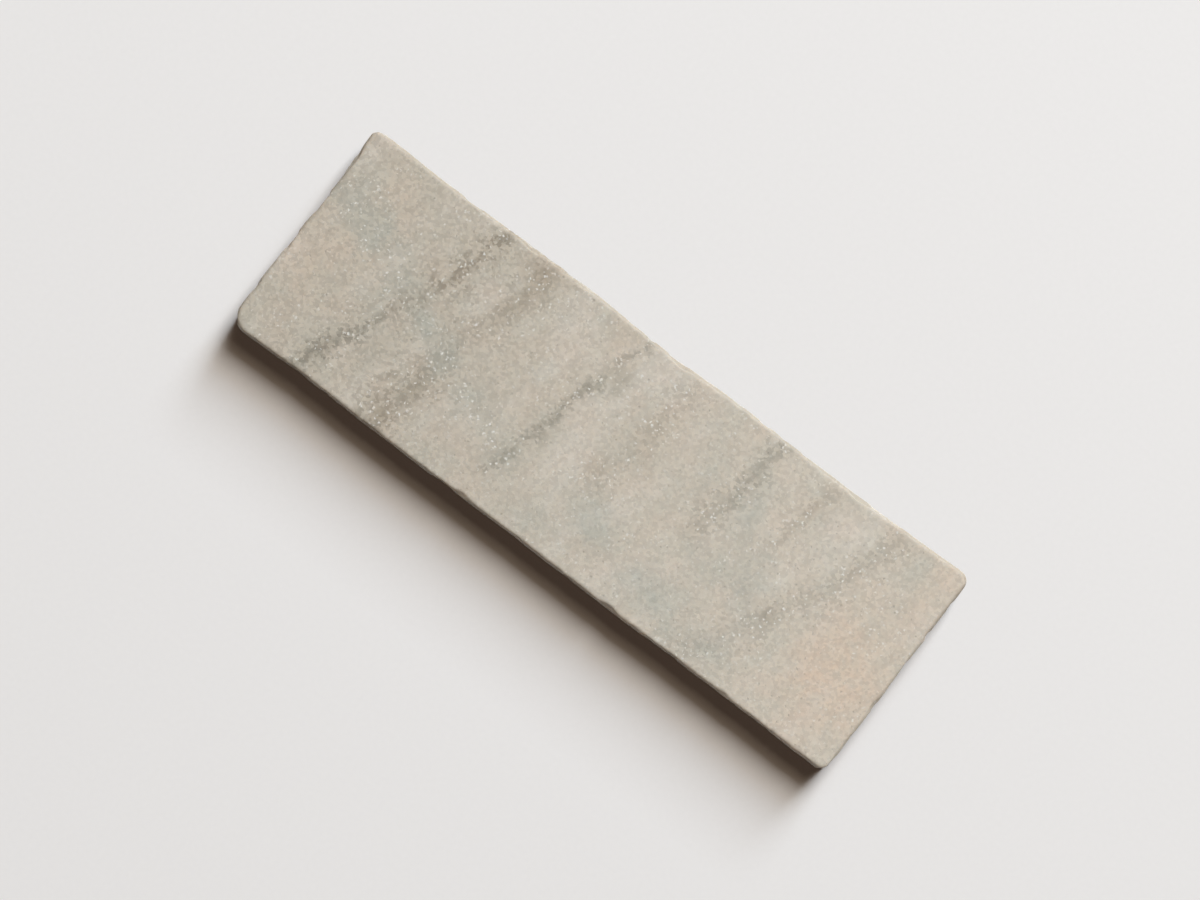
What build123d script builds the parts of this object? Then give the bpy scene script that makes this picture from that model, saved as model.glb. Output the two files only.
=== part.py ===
"""Tumbled marble tile: one sawn stone slab, worn round at its corners and arrises in a tumbling drum.

The show face is up and the sawn back is the bed face, at Z = 0. X runs along the tile, Y across it.
The origin is the middle of the back. All sizes are in millimetres.
"""

import os
from math import cos, radians, sin
from typing import NamedTuple

from build123d import *

# Slab, as sawn
tile_length = 152.4
tile_width = 50.1
tile_thickness = 10.0

# Arrises, worn round by the drum
face_arris_radius = 1.0
back_arris_radius = 1.0

# Corners in plan: how much rounder than the face arris each one is worn
front_left_extra = 3.0
front_right_extra = 1.2
rear_right_extra = 1.5
rear_left_extra = 0.9

# How far each side is worn inside its sawn line, at even stations from one corner to the next.
# A side turns at every station, on an arc, so no three stations in a row are in one line.
front_wear = (0.4, 0.1, 0.15, 0.25, 0.0, 0.2, 0.05)
right_wear = (0.1, 0.0, 0.15)
rear_wear = (0.45, 0.6, 0.25, 0.75, 0.0, 0.2, 0.5)
left_wear = (0.6, 0.25, 0.0)
side_turn_radius = 120.0


class Chip(NamedTuple):
    """A shell-shaped flake knocked off an arris, as the hollow that a ball leaves."""

    side: str  # the side whose arris it is on
    along: float  # share of the side's length from where it starts, going anticlockwise
    ball_radius: float  # of the hollow
    bite: float  # depth of the hollow below the worn arris
    tilt: float  # degrees from flat on the side to flat on the face


face_chips = (
    Chip("front", along=0.39, ball_radius=7.5, bite=0.25, tilt=60),
    Chip("front", along=0.636, ball_radius=9.0, bite=0.3, tilt=50),
    Chip("front", along=0.827, ball_radius=5.5, bite=0.25, tilt=56),
    Chip("right", along=0.343, ball_radius=6.0, bite=0.3, tilt=48),
    Chip("rear", along=0.184, ball_radius=8.5, bite=0.5, tilt=35),
    Chip("rear", along=0.48, ball_radius=9.5, bite=0.5, tilt=40),
    Chip("rear", along=0.645, ball_radius=5.5, bite=0.4, tilt=30),
    Chip("rear", along=0.732, ball_radius=7.0, bite=0.5, tilt=38),
    Chip("left", along=0.17, ball_radius=7.0, bite=0.4, tilt=28),
    Chip("left", along=0.62, ball_radius=5.0, bite=0.3, tilt=40),
)
back_chips = (
    Chip("front", along=0.38, ball_radius=5.0, bite=0.5, tilt=45),
    Chip("rear", along=0.32, ball_radius=4.4, bite=0.5, tilt=40),
    Chip("left", along=0.4, ball_radius=4.0, bite=0.4, tilt=45),
)


def worn_side(start, end, wear):
    """A side from one sawn corner to the next: straight runs between stations that lie inside the sawn
    line, joined by wide arcs, so that it wavers without a kink."""
    along = (end - start).normalized()
    inward = along.rotate(Axis.Z, 90)
    step = (end - start) / (len(wear) + 1)
    stations = [start + step * (i + 1) + inward * depth for i, depth in enumerate(wear)]
    return FilletPolyline(start, *stations, end, radius=side_turn_radius)


def chip_ball_centre(chip, arris_radius, arris_height, up):
    """Where the ball of a chip sits: out from the arris, along the tilt, with its bite in the stone.

    arris_height is the height of the arris's own centre line, and up is 1 on the face, -1 on the back.
    """
    side = sides[chip.side]
    spot = side.position_at(chip.along)
    outward = side.tangent_at(chip.along).rotate(Axis.Z, -90)
    vertical = Vector(0, 0, up)
    slant = outward * cos(radians(chip.tilt)) + vertical * sin(radians(chip.tilt))
    arris_centre = spot - outward * arris_radius + Vector(0, 0, arris_height)
    return arris_centre + slant * (arris_radius + chip.ball_radius - chip.bite)


# Corners of the slab as sawn
front_left = Vector(-tile_length / 2, -tile_width / 2)
front_right = Vector(tile_length / 2, -tile_width / 2)
rear_right = Vector(tile_length / 2, tile_width / 2)
rear_left = Vector(-tile_length / 2, tile_width / 2)

corner_extras = (
    (front_left, front_left_extra),
    (front_right, front_right_extra),
    (rear_right, rear_right_extra),
    (rear_left, rear_left_extra),
)

with BuildPart() as tile:
    # The worn plan, sawn to thickness
    with BuildSketch() as plan:
        with BuildLine() as outline:
            front = worn_side(front_left, front_right, front_wear)
            right = worn_side(front_right, rear_right, right_wear)
            rear = worn_side(rear_right, rear_left, rear_wear)
            left = worn_side(rear_left, front_left, left_wear)
        make_face()
    extrude(amount=tile_thickness)

    # Corners first, so that the arrises run round them without a break
    for corner, extra in corner_extras:
        upright = tile.edges().filter_by(Axis.Z).sort_by_distance(corner)[0]
        fillet(upright, face_arris_radius + extra)
    fillet(tile.faces().sort_by(Axis.Z)[-1].edges(), face_arris_radius)
    fillet(tile.faces().sort_by(Axis.Z)[0].edges(), back_arris_radius)

    # Flakes off the arrises
    sides = {"front": front, "right": right, "rear": rear, "left": left}
    for chip in face_chips:
        height = tile_thickness - face_arris_radius
        with Locations(chip_ball_centre(chip, face_arris_radius, height, up=1)):
            Sphere(chip.ball_radius, mode=Mode.SUBTRACT)
    for chip in back_chips:
        with Locations(chip_ball_centre(chip, back_arris_radius, back_arris_radius, up=-1)):
            Sphere(chip.ball_radius, mode=Mode.SUBTRACT)

tile.part.label = "tile"

os.makedirs("parts", exist_ok=True)
export_step(tile.part, "parts/tile.step")
box = tile.part.bounding_box()
print(f"tile: {len(tile.solids())} solid, {len(tile.faces())} faces, {tile.part.volume / 1000:.2f} cm3")
print(f"box: {box.min} to {box.max}")
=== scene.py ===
# %% [markdown]
# # A tumbled marble tile
#
# The real thing is one slab of marble, sawn to size and then rolled in a drum with grit and water. The
# drum rounds its corners, wears its arrises soft, knocks flakes off them and leaves the faces matt. So
# this lesson has one piece to make, and two things to get right: the worn skin, which is geometry, and
# the stone itself, which is a material.
#
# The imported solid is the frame. It already has the worn outline and the larger flakes, so the skin is
# fitted to it.

import bpy
import numpy as np
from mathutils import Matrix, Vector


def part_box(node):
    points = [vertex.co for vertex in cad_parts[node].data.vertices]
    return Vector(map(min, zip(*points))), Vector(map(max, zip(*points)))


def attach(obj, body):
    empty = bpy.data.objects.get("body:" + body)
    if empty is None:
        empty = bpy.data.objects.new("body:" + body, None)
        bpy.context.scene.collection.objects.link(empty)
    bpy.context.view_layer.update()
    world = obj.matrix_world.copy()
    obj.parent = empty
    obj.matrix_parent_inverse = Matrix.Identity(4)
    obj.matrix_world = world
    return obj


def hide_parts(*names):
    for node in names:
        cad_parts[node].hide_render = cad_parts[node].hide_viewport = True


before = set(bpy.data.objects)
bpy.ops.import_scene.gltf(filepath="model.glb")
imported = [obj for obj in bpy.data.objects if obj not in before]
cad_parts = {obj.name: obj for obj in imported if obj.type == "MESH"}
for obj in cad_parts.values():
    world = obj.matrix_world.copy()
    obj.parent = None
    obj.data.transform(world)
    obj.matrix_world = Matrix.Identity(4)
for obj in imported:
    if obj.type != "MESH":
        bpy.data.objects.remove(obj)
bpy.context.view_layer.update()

mm = 0.001
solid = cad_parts["tile"]
low, high = (np.array(corner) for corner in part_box("tile"))
print("tile, mm:", ((high - low) / mm).round(2))

# %% [markdown]
# ## The skin
#
# The solid's own mesh has few, long triangles, which can't hold small wear. A new skin needs an even
# grid of small cells. A tile is a box, so its skin is the outside of a box lattice: every lattice point
# that has nothing beyond it on at least one side. Each side of the box is then a plain two-way grid, and
# the six share their edge points, so the skin is closed without any merging.
#
# The lines lie closer together near the arrises, because that is where the wear is.

# %% Grid lines
def grid_lines(start, end, fine, coarse, band):
    """Stations from start to end: `fine` apart within `band` of either end, `coarse` apart in between."""
    near = np.linspace(start, start + band, round(band / fine) + 1)
    between = np.linspace(start + band, end - band, round((end - start - 2 * band) / coarse) + 1)
    far = np.linspace(end - band, end, round(band / fine) + 1)
    return np.concatenate([near, between[1:-1], far])


x_lines = grid_lines(low[0], high[0], fine=0.24 * mm, coarse=0.40 * mm, band=2.4 * mm)
y_lines = grid_lines(low[1], high[1], fine=0.22 * mm, coarse=0.62 * mm, band=2.2 * mm)
z_lines = grid_lines(low[2], high[2], fine=0.22 * mm, coarse=0.62 * mm, band=1.54 * mm)
print("grid lines:", len(x_lines), len(y_lines), len(z_lines))

# %% The outside of the lattice
def box_skin(xs, ys, zs):
    """Points and quads of a box lattice's outside. A point is kept where it is first or last on any axis,
    and each of the six sides is the grid of its kept points, wound so that its quads face outwards."""
    shape = (len(xs), len(ys), len(zs))
    outside = np.ones(shape, bool)
    outside[1:-1, 1:-1, 1:-1] = False
    number = np.full(shape, -1)
    number[outside] = np.arange(outside.sum())
    i, j, k = np.nonzero(outside)
    points = np.column_stack([xs[i], ys[j], zs[k]])
    sides = (
        number[:, :, -1], number[:, ::-1, 0],
        number[-1, :, :], number[0, ::-1, :],
        number[:, 0, :], number[::-1, -1, :],
    )
    quads = [
        np.stack([s[:-1, :-1], s[1:, :-1], s[1:, 1:], s[:-1, 1:]], -1).reshape(-1, 4) for s in sides
    ]
    return points, np.concatenate(quads)


points, quads = box_skin(x_lines, y_lines, z_lines)
print("skin:", len(points), "points,", 2 * len(quads), "triangles")

# %% [markdown]
# A sharp box would fold at its edges when it is pulled onto a round arris. So it is rounded first, by
# about as much as the solid's arrises are.

# %% Round the box before it is fitted
def rounded(points, radius):
    """A box with round edges: each point goes to the nearest point of a core that is `radius` smaller
    all round, and from there `radius` outwards, back along the same line."""
    core = np.clip(points, low + radius, high - radius)
    out = points - core
    return core + radius * out / np.linalg.norm(out, axis=1, keepdims=True)


box_radius = 0.95 * mm
points = rounded(points, box_radius)
print("box rounded by", round(box_radius / mm, 2), "mm")

# %% [markdown]
# Now the skin is fitted to the solid. Shrinkwrap moves each point to the nearest place on the solid,
# chips and all. Its result is read back into an array, so the finished piece has no modifier left that
# depends on another object.

# %% Fit the skin to the solid
mesh = bpy.data.meshes.new("tile_skin")
mesh.from_pydata(points, [], quads)
tile = bpy.data.objects.new("tile_skin", mesh)
bpy.context.scene.collection.objects.link(tile)

wrap = tile.modifiers.new("fit", "SHRINKWRAP")
wrap.target = solid
wrap.wrap_method = "NEAREST_SURFACEPOINT"
fitted = tile.evaluated_get(bpy.context.evaluated_depsgraph_get())
flat = np.empty(3 * len(points), np.float32)
fitted.data.vertices.foreach_get("co", flat)
moved = np.linalg.norm(flat.reshape(-1, 3) - points, axis=1)
points = flat.reshape(-1, 3).astype(float)
tile.modifiers.clear()
print("fitted: largest move", (moved.max() / mm).round(2), "mm")

# %% [markdown]
# The solid's chips have crisp rims, and its round faces are made of flat facets. The drum leaves neither,
# so the skin is smoothed. Plain smoothing would shrink it, so each round goes in and then a little
# further out again.

# %% Smooth the facets and the rims
edges = np.concatenate([quads[:, [0, 1]], quads[:, [1, 2]], quads[:, [2, 3]], quads[:, [3, 0]]])
edges = np.unique(np.sort(edges, 1), axis=0)
ends = np.concatenate([edges, edges[:, ::-1]])
valence = np.bincount(ends[:, 0], minlength=len(points))[:, None]


def relaxed(values, amount):
    """Each value moves towards the mean of its neighbours along the edges, by `amount` of the way."""
    total = np.column_stack([np.bincount(ends[:, 0], v[ends[:, 1]], len(values)) for v in values.T])
    return values + amount * (total / valence - values)


smoothing_rounds = 10
for _ in range(smoothing_rounds):
    points = relaxed(relaxed(points, amount=0.5), amount=-0.52)
print("smoothed", smoothing_rounds, "rounds over", len(edges), "edges")

# %% [markdown]
# Wear is cut along the way that the skin faces. A point's own normal is too restless for that round the
# chips, and the skin would fold over itself. So the normals are softened into a smooth direction.

# %% Which way the skin faces
def outward_normals(points):
    """A point's normal is the sum of the cross products of its quads' diagonals, at length 1."""
    a, b, c, d = (points[quads[:, n]] for n in range(4))
    of_quad = np.cross(c - a, d - b)
    total = np.column_stack([
        sum(np.bincount(quads[:, n], of_quad[:, axis], len(points)) for n in range(4))
        for axis in range(3)
    ])
    return total / np.linalg.norm(total, axis=1, keepdims=True)


def softened(values, rounds):
    """Values relaxed halfway, over and over, so that each spreads further with every round."""
    for _ in range(rounds):
        values = relaxed(values, amount=0.5)
    return values


outward = softened(outward_normals(points), rounds=12)
outward /= np.linalg.norm(outward, axis=1, keepdims=True)
up = outward[:, 2]
print("points that face up:", (up > 0.98).sum(), " sideways:", (abs(up) < 0.2).sum())

# %% [markdown]
# ## The wear
#
# Wear takes stone away and never adds it, so all of it is a depth below the fitted skin. Three kinds are
# enough:
#
# - a smooth unevenness, from random heights on a lattice that are blended in between,
# - shell-shaped bites, where knocks took small flakes off,
# - saw marks on the back, which the drum reaches least.

# %% Random heights on a lattice
def lattice_random(address, seed):
    """A repeatable number from 0 to 1 for each whole-number address: it is multiplied by large odd numbers,
    and its bits are mixed in between, until no pattern shows."""
    mixed = address @ np.array([73856093, 19349663, 83492791]) + seed * 40503071
    mixed = (mixed ^ (mixed >> 13)) * 1274126177 & 0xFFFFFFFF
    mixed = (mixed ^ (mixed >> 15)) * 668265263 & 0xFFFFFFFF
    return (mixed ^ (mixed >> 16)) / 0xFFFFFFFF


CORNERS = np.stack(np.meshgrid([0, 1], [0, 1], [0, 1], indexing="ij"), -1).reshape(-1, 3)


def unevenness(points, cell, seed):
    """Smooth noise from 0 to 1. The random numbers at the eight lattice corners round a point are blended
    with the weight 3t² − 2t³ along each axis, t being how far across the cell the point is. `cell` may
    differ by axis."""
    place = points / cell
    corner = np.floor(place).astype(np.int64)
    t = place - corner
    t = t * t * (3 - 2 * t)
    return sum(lattice_random(corner + step, seed) * np.where(step, t, 1 - t).prod(1) for step in CORNERS)


def wandering(points, cell, push, seed):
    """The points moved by smooth noise, up to `push` either way on each axis, so that what is read there
    has ragged edges."""
    shift = np.column_stack([unevenness(points, cell, seed + axis) - 0.5 for axis in range(3)])
    return points + 2 * push * shift


ragged = wandering(points, 1.6 * mm, 0.5 * mm, seed=81)
print("wandering, mm:", (abs(ragged - points).max() / mm).round(2), "at most")

# %% Shell-shaped bites
AROUND = np.stack(np.meshgrid([-1, 0, 1], [-1, 0, 1], [-1, 0, 1], indexing="ij"), -1).reshape(-1, 3)


def bites(points, cell, reach, share, seed):
    """Hollows from 0 to 1 deep. Each lattice cell has one centre, at a random place, and `share` of the
    cells use it. A hollow is a bowl, 1 − (distance ÷ reach)², and where two meet the deeper one counts."""
    home = np.floor(points / cell).astype(np.int64)
    depth = np.zeros(len(points))
    for step in AROUND:
        address = home + step
        jitter = np.column_stack([lattice_random(address, seed + axis) for axis in range(3)])
        gap = np.linalg.norm((address + jitter) * cell - points, axis=1)
        used = lattice_random(address, seed + 3) < share
        own_reach = reach * (0.55 + 0.45 * lattice_random(address, seed + 4))
        depth = np.maximum(depth, used * (1 - (gap / own_reach) ** 2) * own_reach / reach)
    return depth


flakes = 0.20 * bites(ragged, 6.0 * mm, 2.0 * mm, share=0.45, seed=21)  # mm deep
flakes += 0.11 * bites(ragged, 2.6 * mm, 1.1 * mm, share=0.45, seed=31)
print("flakes, mm:", flakes.max().round(2), "deep at most")

# %% [markdown]
# Each kind of wear has its place, and the softened direction tells it: the face looks up, the back looks
# down, the sides look level, and an arris leans in between. The first three shares add up to 1, so that
# no lip is left standing where one ends and the next begins.

# %% Where each kind of wear is
def smooth_step(value, start, end):
    """0 up to start, 1 from end, and 3t² − 2t³ between them."""
    t = np.clip((value - start) / (end - start), 0, 1)
    return t * t * (3 - 2 * t)


def between_sides(direction):
    """1 where a direction leans 45° out of a face, 0 where it is level or upright: 4u(1 − u), u being the
    square of its upward part."""
    u = direction[:, 2] ** 2 / (direction ** 2).sum(1)
    return 4 * u * (1 - u)


on_face = smooth_step(up, 0.5, 0.95)
on_back = smooth_step(-up, 0.5, 0.95)
on_side = 1 - on_face - on_back
on_arris = between_sides(outward)
near_arris = between_sides(softened(outward, rounds=40))
print("arris points:", (on_arris > 0.5).sum())

# %% [markdown]
# The sides wear in upright scallops, with a nick here and there. The arris is rounder in some stretches
# than in others, it is nibbled all along, and flakes are gone from it. The face has shallow dents and
# small pits. The saw's marks are arcs, because its blade was round. Depths are in millimetres.

# %% Depth of the wear on the sides and arrises
upright = np.array([1, 1, 3.5])  # stretches the noise's cells along Z
side_wear = 0.20 * unevenness(points, 4.2 * mm * upright, seed=11)
side_wear += 0.10 * unevenness(points, 1.7 * mm * upright, seed=12)
side_wear += 0.32 * smooth_step(unevenness(points, 2.6 * mm * upright, seed=13), 0.58, 0.85)

rounder = smooth_step(unevenness(points, 10 * mm, seed=15), 0.35, 0.80)
nibbles = 0.10 * smooth_step(unevenness(ragged, 1.6 * mm, seed=16), 0.40, 0.85)
crumbs = 0.05 * smooth_step(unevenness(ragged, 0.9 * mm, seed=17), 0.45, 0.85)
print("side wear, mm:", side_wear.min().round(2), "to", side_wear.max().round(2))

# %% Depth of the wear on the face and the back
dents = 0.07 * bites(points, 8.5 * mm, 3.2 * mm, share=0.5, seed=41)
dents += 0.05 * unevenness(points, 13 * mm, seed=51)
pits = 0.09 * bites(ragged, 3.4 * mm, 0.8 * mm, share=0.35, seed=61)

saw_centre = np.array([-50, -190]) * mm
saw_pitch = 2.3  # mm
saw_radius = np.linalg.norm(points[:, :2] - saw_centre, axis=1) / mm
saw_turn = 2 * np.pi * saw_radius / saw_pitch + 3 * unevenness(points, 20 * mm, seed=71)
saw_marks = 0.03 * (1 + np.sin(saw_turn))
print("pits, mm:", pits.max().round(2), " saw marks, mm:", saw_marks.max().round(2))

# %% [markdown]
# First the rounder stretches are worn, by mixing in a skin that was softened a few rounds more. Then the
# depths are cut, and one last light smoothing takes off what is smaller than a cell.
#
# The material has to know where a flake has left the arris fresh, and where shade is painted on the rest of
# it, most along the rear arris, which faces the lamps. Both are kept as attributes, which are numbers that
# the mesh holds at each point.

# %% Cut the wear into the skin
points += rounder[:, None] * (softened(points, rounds=7) - points)
depth = on_side * side_wear + on_face * (dents + pits) + on_back * saw_marks
depth += near_arris * flakes + on_arris * (nibbles + crumbs)
points -= outward * depth[:, None] * mm
points = relaxed(relaxed(points, amount=0.4), amount=-0.42)
points = np.clip(points, low, high)
mesh.vertices.foreach_set("co", points.astype(np.float32).ravel())
mesh.shade_smooth()
print("wear, mm: mean", depth.mean().round(3), "largest", depth.max().round(3))
print("skin box, mm:", ((points.max(0) - points.min(0)) / mm).round(2))

# %% Mark fresh arrises, and the painted shade on the others
broken = smooth_step(flakes, 0.03, 0.16)
# painted shade: every arris gets some, and the rear arris, which faces the lamps, gets the most, to dim its
# highlight
shade_strength = 0.45 + 0.55 * smooth_step(points[:, 1], 0, 20 * mm)  # most along the rear
for name, share in (("bruised", on_arris * broken), ("painted_shade", on_arris * (1 - broken) * shade_strength)):
    mesh.attributes.new(name, "FLOAT", "POINT").data.foreach_set("value", share.astype(np.float32))
    print(name, "points:", (share > 0.5).sum())
mesh.update()

# %% [markdown]
# The skin is the tile as it is seen, so it takes the solid's place and moves with its body.

# %% Put the skin in the solid's place
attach(tile, "root")
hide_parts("tile")
print(tile.name, "takes the place of", solid.name)

# %% [markdown]
# ## The stone
#
# A material is a network of nodes. A few small helpers keep the network short to write: one adds a node
# and fills or links its sockets, and one opens a node group, which is a network of its own with named
# sockets.

# %% Helpers for nodes
def add(tree, kind, sockets=(), **settings):
    """One node. `settings` are its own properties. `sockets` gives inputs a value, or an output to link."""
    node = tree.nodes.new("ShaderNode" + kind)
    for name, value in settings.items():
        setattr(node, name, value)
    for name, value in dict(sockets).items():
        if isinstance(value, bpy.types.NodeSocket):
            tree.links.new(value, node.inputs[name])
        else:
            node.inputs[name].default_value = value
    return node


def maths(tree, operation, *values):
    """One step of arithmetic on numbers or outputs."""
    return add(tree, "Math", enumerate(values), operation=operation).outputs[0]


def vector_maths(tree, operation, sockets):
    """One step of arithmetic on vectors."""
    return add(tree, "VectorMath", sockets, operation=operation).outputs[0]


def noise(tree, vector, feature, detail=2.0, roughness=0.5):
    """Cloudy noise about 0.5, with features of about that many millimetres."""
    sockets = {"Vector": vector, "Scale": 1 / feature, "Detail": detail, "Roughness": roughness}
    return add(tree, "TexNoise", sockets).outputs


def new_group(name, inputs, outputs):
    """A node group with named sockets, as {name: kind}. Gives its tree, its inputs and its outputs."""
    tree = bpy.data.node_groups.new(name, "ShaderNodeTree")
    for socket, kind in inputs.items():
        tree.interface.new_socket(socket, in_out="INPUT", socket_type="NodeSocket" + kind)
    for socket, kind in outputs.items():
        tree.interface.new_socket(socket, in_out="OUTPUT", socket_type="NodeSocket" + kind)
    return tree, tree.nodes.new("NodeGroupInput").outputs, tree.nodes.new("NodeGroupOutput").inputs


# %% [markdown]
# ### Stone coordinates
#
# Colour goes right through stone, so every pattern reads Object coordinates, which are metres in the
# tile's own frame. The first group turns them into millimetres from the middle of the face, and slides
# the deeper layers sideways, because the veins are tilted sheets in the block. It also bends the space a
# little, so that nothing runs dead straight, and gives a third version that is squeezed along the
# bedding. Noise that reads that one comes out in streaks, which lean the way the veins do.

# %% Group: stone coordinates
face_height = high[2] / mm
sheet_slide = 0.42  # sideways for each millimetre down
bedding_lean = np.radians(19)

stone_space, given, result = new_group(
    "stone_space", {"Position": "Vector"}, {"Plain": "Vector", "Bent": "Vector", "Bedding": "Vector"}
)
tree = stone_space
in_mm = vector_maths(tree, "SCALE", {0: given["Position"], "Scale": 1 / mm})
xyz = add(tree, "SeparateXYZ", {0: in_mm}).outputs
below = maths(tree, "SUBTRACT", face_height, xyz["Z"])
slid = maths(tree, "MULTIPLY_ADD", below, sheet_slide, xyz["X"])
plain = add(tree, "CombineXYZ", {"X": slid, "Y": xyz["Y"], "Z": below}).outputs[0]
bent = plain
for feature, push in ((14.0, 3.0), (3.2, 1.0)):
    cloud = noise(tree, plain, feature)["Color"]
    offset = vector_maths(tree, "SUBTRACT", {0: cloud, 1: (0.5, 0.5, 0.5)})
    offset = vector_maths(tree, "SCALE", {0: offset, "Scale": 2 * push})
    bent = vector_maths(tree, "ADD", {0: bent, 1: offset})
turn = {"Vector": bent, "Rotation": (0, 0, -bedding_lean), "Scale": (1, 3, 1.6)}
bedding = add(tree, "Mapping", turn, vector_type="TEXTURE").outputs[0]
tree.links.new(plain, result["Plain"])
tree.links.new(bent, result["Bent"])
tree.links.new(bedding, result["Bedding"])
print("group", tree.name, len(tree.nodes), "nodes")

# %% [markdown]
# ### Veins and washes
#
# A vein is a thin dark sheet. On the face it is a line that leans across the tile,
# x = place + lean·y + bend·y². It swells and thins on its way, its edges are frayed into flecks, and it
# stains the stone on either side. A wash is a soft oval of another colour. Both are groups, because each
# is used many times with its own values. The vein also tells how near it is, because more crystals are
# bruised there.

# %% A soft step from one value to another
def eased(tree, value, start, end, low=0.0, high=1.0):
    """From low to high as the value goes from start to end, with a soft beginning and end."""
    sockets = {"Value": value, "From Min": start, "From Max": end, "To Min": low, "To Max": high}
    return add(tree, "MapRange", sockets, interpolation_type="SMOOTHSTEP").outputs[0]


# %% Group: vein
fading = 3.0  # mm over which a vein fades, either side of its end
fraying = 5.0  # half widths that its edge moves as the flecks go from 0 to 1

vein_group, given, result = new_group(
    "vein",
    {
        "Stone": "Vector", "Swell": "Float", "Flecks": "Float",
        "Place": "Float", "Lean": "Float", "Bend": "Float",
        "Half width": "Float", "Front end": "Float", "Rear end": "Float",
    },
    {"Line": "Float", "Stain": "Float", "Near": "Float"},
)
tree = vein_group
xyz = add(tree, "SeparateXYZ", {0: given["Stone"]}).outputs
lean = maths(tree, "MULTIPLY_ADD", xyz["Y"], given["Lean"], given["Place"])
curve = maths(tree, "MULTIPLY", maths(tree, "MULTIPLY", xyz["Y"], xyz["Y"]), given["Bend"])
aside = maths(tree, "SUBTRACT", xyz["X"], maths(tree, "ADD", lean, curve))
swelling = eased(tree, given["Swell"], 0.32, 0.68, 0.5, 1.4)
width = maths(tree, "MULTIPLY", given["Half width"], swelling)
away = maths(tree, "DIVIDE", maths(tree, "ABSOLUTE", aside), width)
front = eased(tree, maths(tree, "SUBTRACT", xyz["Y"], given["Front end"]), -fading, fading)
rear = eased(tree, maths(tree, "SUBTRACT", given["Rear end"], xyz["Y"]), -fading, fading)
there = maths(tree, "MULTIPLY", front, rear)
frayed = maths(tree, "MULTIPLY_ADD", maths(tree, "SUBTRACT", 0.5, given["Flecks"]), fraying, away)
tree.links.new(maths(tree, "MULTIPLY", eased(tree, frayed, 1.8, -0.4), there), result["Line"])
tree.links.new(maths(tree, "MULTIPLY", eased(tree, frayed, 4.5, 0.0), there), result["Stain"])
tree.links.new(maths(tree, "MULTIPLY", eased(tree, away, 2.5, 0.5), there), result["Near"])
print("group", tree.name, len(tree.nodes), "nodes")

# %% Group: wash
wash_group, given, result = new_group(
    "wash",
    {"Stone": "Vector", "Mottle": "Float", "Centre": "Vector", "Reach": "Vector"},
    {"Share": "Float"},
)
tree = wash_group
apart = vector_maths(tree, "SUBTRACT", {0: given["Stone"], 1: given["Centre"]})
apart = vector_maths(tree, "DIVIDE", {0: apart, 1: given["Reach"]})
gap = add(tree, "VectorMath", {0: apart}, operation="LENGTH").outputs["Value"]
patchy = eased(tree, given["Mottle"], 0.30, 0.70, 0.6, 1.2)
tree.links.new(maths(tree, "MULTIPLY", eased(tree, gap, 1.0, 0.0), patchy), result["Share"])
print("group", tree.name, len(tree.nodes), "nodes")

# %% [markdown]
# ### Crystals and bruises
#
# Close up, this marble is like packed sugar: crystals about half a millimetre across, each a shade
# lighter or darker. Voronoi cells give that mosaic, with their straight edges bent by a little noise.
# Tumbling bruises some crystals white and plucks others out, which leaves tiny pits with shade painted
# into them.

# %% Group: crystals
crystal_group, given, result = new_group(
    "crystals",
    {"Stone": "Vector", "Size": "Float"},
    {"Tone": "Float", "Relief": "Float", "Specks": "Float", "Plucked": "Float"},
)
tree = crystal_group
scaled = maths(tree, "DIVIDE", 1.0, given["Size"])
grains = vector_maths(tree, "SCALE", {0: given["Stone"], "Scale": scaled})
jostle = noise(tree, grains, 0.8, 1.0)["Color"]
jostled = vector_maths(tree, "MULTIPLY_ADD", {0: jostle, 1: (0.7, 0.7, 0.7), 2: grains})
cells = add(tree, "TexVoronoi", {"Vector": jostled, "Scale": 1.0}, feature="F1").outputs
tone = add(tree, "SeparateColor", {0: cells["Color"]}).outputs
inside = eased(tree, cells["Distance"], 0.6, 0.2)
rim_off = eased(tree, cells["Distance"], 0.8, 0.4)
specks = maths(tree, "MULTIPLY", eased(tree, tone[2], 0.86, 0.95), rim_off)
plucked = maths(tree, "MULTIPLY", eased(tree, tone[2], 0.045, 0.02), inside)
frost = noise(tree, grains, 0.5, 2.0, 0.6)[0]
relief = maths(tree, "MULTIPLY_ADD", frost, 0.7, maths(tree, "MULTIPLY", tone[1], 0.2))
tree.links.new(tone[0], result["Tone"])
tree.links.new(maths(tree, "SUBTRACT", relief, plucked), result["Relief"])
tree.links.new(specks, result["Specks"])
tree.links.new(plucked, result["Plucked"])
print("group", tree.name, len(tree.nodes), "nodes")

# %% [markdown]
# ### The marble itself
#
# The ground is a warm beige, darker at the left end and lighter at the right. Over it go pale
# clouds, then soft washes, then the veins' stains and lines, then the crystals, and last the worn
# arrises and the shade painted on them. Some veins are olive grey and some are brown, and one cool seam
# crosses them at a slant.
#
# Each wash and vein has its own place on this tile, so the places are lists, in millimetres from the
# face's middle. A vein that changes along its way is drawn in stretches.

# %% The stone's palette
left_ground = (0.508, 0.467, 0.388, 1)
right_ground = (0.602, 0.556, 0.470, 1)
pale = (0.684, 0.645, 0.575, 1)
peach = (0.665, 0.545, 0.430, 1)
blue_grey = (0.400, 0.426, 0.378, 1)
smoke = (0.320, 0.300, 0.240, 1)
smoke_dark = (0.205, 0.192, 0.152, 1)
umber = (0.358, 0.304, 0.227, 1)
umber_dark = (0.228, 0.196, 0.146, 1)
bruise = (0.850, 0.855, 0.815, 1)
# the brown of the shade painted on the arrises
arris_shade = (0.330, 0.275, 0.205, 1)
cool_tint = (0.984, 1.005, 1.012, 1)  # the tints multiply a colour
pink_tint = (1.016, 0.995, 0.988, 1)
print("ground, left end:", left_ground[:3], " right end:", right_ground[:3])

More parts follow.
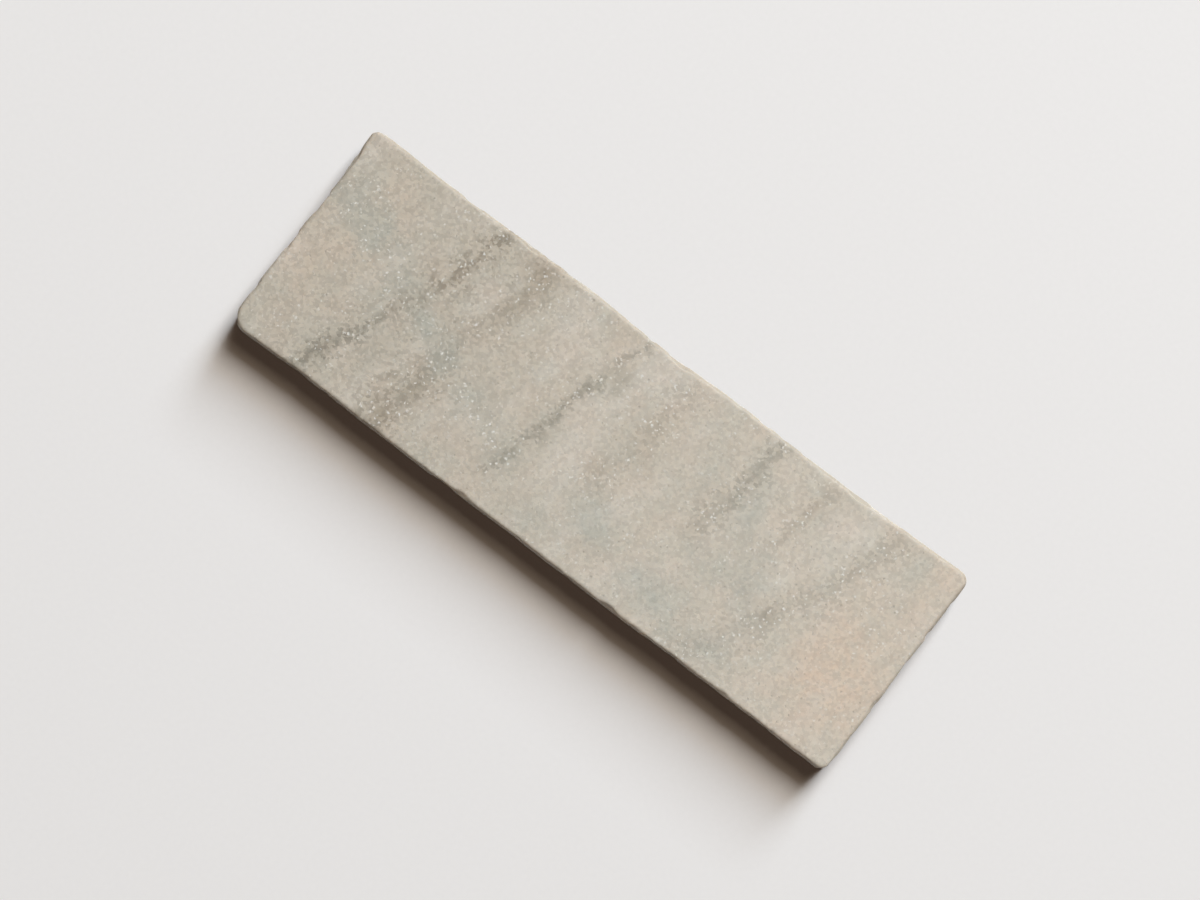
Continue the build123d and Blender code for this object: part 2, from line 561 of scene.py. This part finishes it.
# %% Washes
# Centre x, y, reach x, y, strength
pale_washes = (
    (3, 20, 10, 11, 0.52), (-20, 19, 8, 10, 0.40), (-5, -2, 7, 11, 0.45), (-39, 11, 4, 8, 0.30),
    (50, 15, 8, 9, 0.35), (-28, -13, 6, 9, 0.25),
)
peach_washes = (
    (66, -8, 18, 24, 0.76), (-71, -3, 11, 14, 0.40), (72, 18, 8, 12, 0.45), (8, 12, 6, 12, 0.20),
    (-64, 16, 8, 9, 0.22), (-63, 3, 8, 8, 0.22), (-10, 18, 8, 9, 0.12),
)
grey_washes = (
    (-71, 12, 7, 7, 0.45), (-62, 8, 8, 5, 0.35), (-52, 2, 7, 5, 0.35), (-44, -1, 7, 5, 0.50),
    (-36, -3, 5, 7, 0.55), (-26, -8, 7, 5, 0.30), (-16, -11.5, 5, 6, 0.15), (8, -13, 9, 10, 0.55),
    (20, 8, 9, 20, 0.10), (31, 9, 6, 10, 0.40), (37, 3, 7, 7, 0.35), (32, -6, 9, 8, 0.35),
    (41, -3, 7, 7, 0.50), (44, -8, 6, 6, 0.30), (25, -17, 14, 8, 0.50), (40, -19, 9, 7, 0.35),
    (-4, -20, 10, 7, 0.25),
)
smoke_blots = (
    (-5.5, 13, 3.4, 4.5, 0.45), (-16, -11, 4.0, 4.5, 0.10), (48.5, -6, 3.4, 3.2, 0.45),
    (-57.5, -19, 4.5, 6, 0.32), (-71, -2, 7, 12, 0.18), (-48.5, -12, 6, 13, 0.14),
    (58, 12, 4, 7, 0.12),
)
umber_blots = (
    (-31, 20.5, 7.5, 7, 0.52), (-32, 13, 3.4, 6, 0.25), (-37.5, -13, 3.6, 5, 0.28),
    (-39.5, -21, 4.5, 5, 0.38), (6.5, 9, 3.2, 10, 0.14), (41.5, 14, 2.2, 9, 0.16),
)
print(len(pale_washes + peach_washes + grey_washes), "washes,", len(smoke_blots + umber_blots), "blots")

# %% Vein stretches
# Place, lean, bend, half width, front end, rear end, strength of the line and of the stain
grey_veins = (
    (-49.4, 0.466, -0.0010, 1.6, -27, -5, 0.54, 0.20),
    (-12.0, 0.290, 0.0, 0.9, 14, 25, 0.34, 0.10),
    (-11.6, 0.290, 0.0, 0.95, -3, 12, 0.47, 0.12),
    (-11.6, 0.290, 0.0, 1.2, -18, -3, 0.36, 0.10),
    (25.7, 0.190, 0.0, 1.8, 4, 25, 0.32, 0.12),
    (25.7, 0.190, 0.0, 1.4, -4, 4, 0.28, 0.10),
    (51.7, 0.500, -0.0062, 1.8, 4, 25, 0.20, 0.10),
    (51.7, 0.500, -0.0062, 2.2, -25, 4, 0.16, 0.10),
)
brown_veins = (
    (-49.4, 0.466, -0.0046, 1.4, 6, 27, 0.60, 0.20),
    (-49.4, 0.466, -0.0046, 1.4, -5, 6, 0.36, 0.14),
    (-35.7, 0.270, 0.0018, 3.0, 8, 27, 0.23, 0.12),
    (-35.7, 0.270, 0.0018, 3.2, -7, 8, 0.18, 0.10),
    (-35.7, 0.270, 0.0018, 2.8, -27, -7, 0.39, 0.20),
    (4.6, 0.150, 0.0, 1.9, -9, 23, 0.16, 0.08),
    (38.6, 0.190, 0.0, 1.2, 6, 24, 0.18, 0.08),
)
cool_seams = ((-47.0, -2.4, 0.0, 5.0, -14, 12, 0.10, 0.10),)
print(len(grey_veins + brown_veins), "vein stretches,", len(cool_seams), "cool seam")

# %% [markdown]
# The ground is two colours, blended along the tile, and noise in the bedding's space gives its clouds.
# A painted picture could do as much for the face. Noise in Object coordinates also goes on over the
# arrises and down the sides without a seam, as the real stone does.

# %% Ground and clouds
def blended(tree, share, first, second, mode="MIX"):
    """Two colours laid over each other: `share` of the second on the first. A Mix node has a set of
    sockets for each kind of value, and those for colours are inputs 6 and 7 and output 2."""
    node = add(tree, "Mix", {0: share, 6: first, 7: second}, data_type="RGBA", blend_type=mode)
    return node.outputs[2]


marble =bpy.data.materials.new("tumbled_marble")
marble.use_nodes = True
tree = marble.node_tree
tree.nodes.clear()
position = add(tree, "TexCoord").outputs["Object"]
stone = add(tree, "Group", {"Position": position}, node_tree=stone_space).outputs
along = add(tree, "SeparateXYZ", {0: stone["Bent"]}).outputs["X"]
colour = blended(tree, eased(tree, along, -75, 60), left_ground, right_ground)

clouds = noise(tree, stone["Bedding"], 8.0, 4.0, 0.55)[0]
mottle = noise(tree, stone["Bent"], 2.4, 3.0)[0]
colour = blended(tree, eased(tree, clouds, 0.45, 0.75, 0.0, 0.40), colour, pale)
colour = blended(tree, eased(tree, clouds, 0.48, 0.25, 0.0, 0.30), colour, blue_grey)
print("ground and clouds:", len(tree.nodes), "nodes")

# %% [markdown]
# Washes are stains from when the stone was formed. Noise would put them anywhere, so each is laid at its
# own place, the pale ones first. They reach so deep that they go right through the tile.

# %% Lay on the washes
wash_depth = 40  # mm


def laid_on(colour, washes, paint):
    """Lays soft ovals of one paint over a colour, one after another."""
    for x, y, reach_x, reach_y, strength in washes:
        sockets = {
            "Stone": stone["Bent"], "Mottle": mottle,
            "Centre": (x, y, 0), "Reach": (reach_x, reach_y, wash_depth),
        }
        share = add(tree, "Group", sockets, node_tree=wash_group).outputs["Share"]
        colour = blended(tree, maths(tree, "MULTIPLY", share, strength), colour, paint)
    return colour


colour = laid_on(colour, pale_washes, pale)
colour = laid_on(colour, peach_washes, peach)
colour = laid_on(colour, grey_washes, blue_grey)
colour = laid_on(colour, smoke_blots, smoke)
colour = laid_on(colour, umber_blots, umber)
print("with washes:", len(tree.nodes), "nodes")

# %% [markdown]
# A vein's flecks follow the crystals as well as the streaks, because a dark crystal at its edge belongs
# to the vein. So the crystals are placed before the veins, although they are painted after them.

# %% Draw the veins
crystal_size = 0.62  # mm
crystals = add(
    tree, "Group", {"Stone": stone["Plain"], "Size": crystal_size}, node_tree=crystal_group
).outputs
swell = noise(tree, stone["Bedding"], 2.4, 1.0)[0]
streak = noise(tree, stone["Bedding"], 1.3, 4.0, 0.7)[0]
dark_grain = maths(tree, "SUBTRACT", 1.0, crystals["Tone"])
flecks = maths(tree, "MULTIPLY_ADD", dark_grain, 0.30, maths(tree, "MULTIPLY", streak, 0.70))


def veined(colour, near, veins, stain_paint, line_paint):
    """Draws veins over a colour: each one's stain first, then its line. `near` is how near the nearest
    vein so far is, and comes back with these counted in."""
    for place, lean, bend, half_width, front_end, rear_end, line, stain in veins:
        sockets = {
            "Stone": stone["Bent"], "Swell": swell, "Flecks": flecks,
            "Place": place, "Lean": lean, "Bend": bend,
            "Half width": half_width, "Front end": front_end, "Rear end": rear_end,
        }
        vein = add(tree, "Group", sockets, node_tree=vein_group).outputs
        colour = blended(tree, maths(tree, "MULTIPLY", vein["Stain"], stain), colour, stain_paint)
        colour = blended(tree, maths(tree, "MULTIPLY", vein["Line"], line), colour, line_paint)
        near = maths(tree, "MAXIMUM", near, vein["Near"])
    return colour, near


colour, near_vein = veined(colour, 0.0, cool_seams, blue_grey, blue_grey)
colour, near_vein = veined(colour, near_vein, brown_veins, umber, umber_dark)
colour, near_vein = veined(colour, near_vein, grey_veins, smoke, smoke_dark)
print("with veins:", len(tree.nodes), "nodes")

# %% [markdown]
# Streaks and crystals only make the stone lighter or darker, so they are multiplied on. No two patches of
# marble have quite the same hue either, so a cooler and a pinker tint are multiplied on, in soft patches
# some millimetres across. A tint for each crystal would look like granite.

# %% Streaks, crystals and tints
streaks = eased(tree, streak, 0.25, 0.75, 0.95, 1.045)
grain = eased(tree, along, -60, 0, 0.100, 0.072)  # stronger at the left end
light_or_dark = eased(tree, crystals["Tone"], 0.0, 1.0, -1.0, 1.0)
shade = maths(tree, "MULTIPLY", streaks, maths(tree, "MULTIPLY_ADD", light_or_dark, grain, 1.0))
shade = add(tree, "CombineColor", {0: shade, 1: shade, 2: shade}).outputs[0]
colour = blended(tree, 1.0, colour, shade, "MULTIPLY")

hue = noise(tree, stone["Bent"], 7.0, 4.0, 0.5)[0]
tint = blended(tree, eased(tree, hue, 0.28, 0.72), cool_tint, pink_tint)
colour = blended(tree, 1.0, colour, tint, "MULTIPLY")
print("with crystals:", len(tree.nodes), "nodes")

# %% [markdown]
# Plucked crystals leave tiny pits, and shade is painted into them. Bruised ones are white, and there are
# more of them in drifts and along the veins, where the stone is weaker. Last come the arrises: the mesh's
# two attributes tell where shade is painted on them, most along the rear arris, which faces the lamps,
# and where a flake has left them fresh.

# %% Bruises and arrises
# painted shade: the plucked pits are darkened, for the shade inside them
colour = blended(tree, maths(tree, "MULTIPLY", crystals["Plucked"], 0.45), colour, smoke_dark)
drifts = eased(tree, noise(tree, stone["Bedding"], 6.0, 2.0)[0], 0.42, 0.66, 0.12, 0.50)
bruising = maths(tree, "MAXIMUM", drifts, maths(tree, "MULTIPLY", near_vein, 0.72))
colour = blended(tree, maths(tree, "MULTIPLY", crystals["Specks"], bruising), colour, bruise)

# painted shade: the arrises are darkened brown, most along the rear arris, where the lamps behind the tile
# put a highlight
painted_shade = add(tree, "Attribute", attribute_name="painted_shade").outputs["Fac"]
colour = blended(tree, maths(tree, "MULTIPLY", painted_shade, 0.68), colour, arris_shade)
fresh = add(tree, "Attribute", attribute_name="bruised").outputs["Fac"]
colour = blended(tree, maths(tree, "MULTIPLY", fresh, 0.20), colour, bruise)
print("with bruises and arrises:", len(tree.nodes), "nodes")

# %% [markdown]
# The tumbled surface is frosted, with no gloss, and light goes a little way into the crystals, which is
# what makes marble's edges look soft. Subsurface scattering does that. The bump holds only what is too
# fine for the mesh's cells.

# %% The shader
bump_depth = 0.03 * mm
bump = {"Strength": 0.6, "Distance": bump_depth, "Height": crystals["Relief"]}
bumpy = add(tree, "Bump", bump).outputs[0]
rough = eased(tree, crystals["Tone"], 0.0, 1.0, 0.60, 0.82)
shader = add(tree, "BsdfPrincipled", {"Base Color": colour, "Roughness": rough, "Normal": bumpy})
shader.inputs["Subsurface Weight"].default_value = 0.2
shader.inputs["Subsurface Radius"].default_value = (1.0, 0.72, 0.5)
shader.inputs["Subsurface Scale"].default_value = 1.2 * mm
add(tree, "OutputMaterial", {"Surface": shader.outputs[0]})
mesh.materials.append(marble)
print("marble:", len(tree.nodes), "nodes")

# %% [markdown]
# ## The studio
#
# The tile lies on white paper. A plain plane does for it, wide enough to have no edge in any view. The
# tile isn't allowed to throw light back on the paper, because a bright fringe there would hide its
# outline.

# %% Paper floor
paper = bpy.data.materials.new("white_paper")
paper.use_nodes = True
tree = paper.node_tree
sheet = tree.nodes["Principled BSDF"]
sheet.inputs["Roughness"].default_value = 0.9
position = add(tree, "TexCoord").outputs["Object"]
fibres = add(tree, "TexNoise", {"Vector": position, "Scale": 900.0, "Detail": 3.0}).outputs[0]
white = blended(tree, fibres, (0.835, 0.835, 0.828, 1), (0.865, 0.865, 0.858, 1))
tree.links.new(white, sheet.inputs["Base Color"])

reach = 15.0  # metres from the middle to each edge
corners = [(-reach, -reach, 0), (reach, -reach, 0), (reach, reach, 0), (-reach, reach, 0)]
floor_mesh = bpy.data.meshes.new("paper_floor")
floor_mesh.from_pydata(corners, [], [(0, 1, 2, 3)])
floor_mesh.materials.append(paper)
floor = bpy.data.objects.new("paper_floor", floor_mesh)
bpy.context.scene.collection.objects.link(floor)
tile.visible_diffuse = False
print("paper:", 2 * reach, "m across")

# %% [markdown]
# The light is one tall, soft source behind the tile. It is far off, so the paper is evenly lit, and it
# fills more than 50° of sky from low to high, which gives the shadow its short dark core and long soft
# edge. It is warmer and dimmer towards its top, so it is built as three lamps, one above another. The
# paper sees them all and stays white. The soft edge of the shadow sees mostly the upper ones, so it turns
# brown.

# %% Lamps
from mathutils import Vector

lamp_distance = 5.0
lamp_half_angle = np.radians(9)


def soft_lamp(name, low_edge, high_edge, colour, brightness):
    """A lamp behind the tile that fills the sky from one height to another, in degrees, and twice the
    half angle across. Its power is its brightness, in watts per square metre, times its area."""
    height = np.radians((low_edge + high_edge) / 2)
    data = bpy.data.lights.new(name, "AREA")
    data.shape = "RECTANGLE"
    data.size = 2 * lamp_distance * np.tan(lamp_half_angle)
    data.size_y = 2 * lamp_distance * np.tan(np.radians((high_edge - low_edge) / 2))
    data.color = colour
    data.energy = brightness * data.size * data.size_y
    lamp = bpy.data.objects.new(name, data)
    lamp.location = Vector((0, np.cos(height), np.sin(height))) * lamp_distance
    lamp.rotation_euler = (-lamp.location).to_track_quat("-Z", "Y").to_euler()
    lamp.visible_camera = False
    bpy.context.scene.collection.objects.link(lamp)
    print(name, "at", np.degrees(height).round(1), "degrees,", round(data.energy), "W")


soft_lamp("top_lamp", 63, 74, (1.25, 1.0, 0.75), 11)
soft_lamp("middle_lamp", 46, 63, (1.06, 1.0, 0.94), 52)
soft_lamp("low_lamp", 18, 46, (0.91, 1.0, 1.10), 54)

# %% [markdown]
# There is next to no other light, only a dim warm glow from all round, which keeps the shadow from going
# black. The world is pale to the camera alone, so that low views have a clean backdrop.

# %% World
world = bpy.data.worlds.new("studio")
world.use_nodes = True
bpy.context.scene.world = world
tree = world.node_tree
tree.nodes.clear()
dim = add(tree, "Background", {"Color": (1.0, 0.65, 0.46, 1), "Strength": 0.05}).outputs[0]
clean = add(tree, "Background", {"Color": (0.8, 0.8, 0.79, 1), "Strength": 1.0}).outputs[0]
seen = add(tree, "LightPath").outputs["Is Camera Ray"]
both = add(tree, "MixShader", {0: seen, 1: dim, 2: clean}).outputs[0]
add(tree, "OutputWorld", {"Surface": both})
print("world:", len(tree.nodes), "nodes")

# %% [markdown]
# ## The camera
#
# The picture is taken from straight above with a long lens, turned so that the tile runs down to the
# right.

# %% Camera
view_width = 0.244  # metres across the picture, at the height of the tile's face
camera_turn = np.radians(37.2)
lens_data = bpy.data.cameras.new("camera")
lens_data.sensor_width = 36
lens_data.lens = 160
camera = bpy.data.objects.new("camera", lens_data)
distance = view_width * lens_data.lens / lens_data.sensor_width
camera.location = (0, 0, high[2] + distance)
camera.rotation_euler = (0, 0, camera_turn)
bpy.context.scene.collection.objects.link(camera)
bpy.context.scene.camera = camera
bpy.context.scene.view_settings.view_transform = "Standard"
print("camera at", round(camera.location.z, 3), "m")

# %% Finish
bpy.context.view_layer.update()
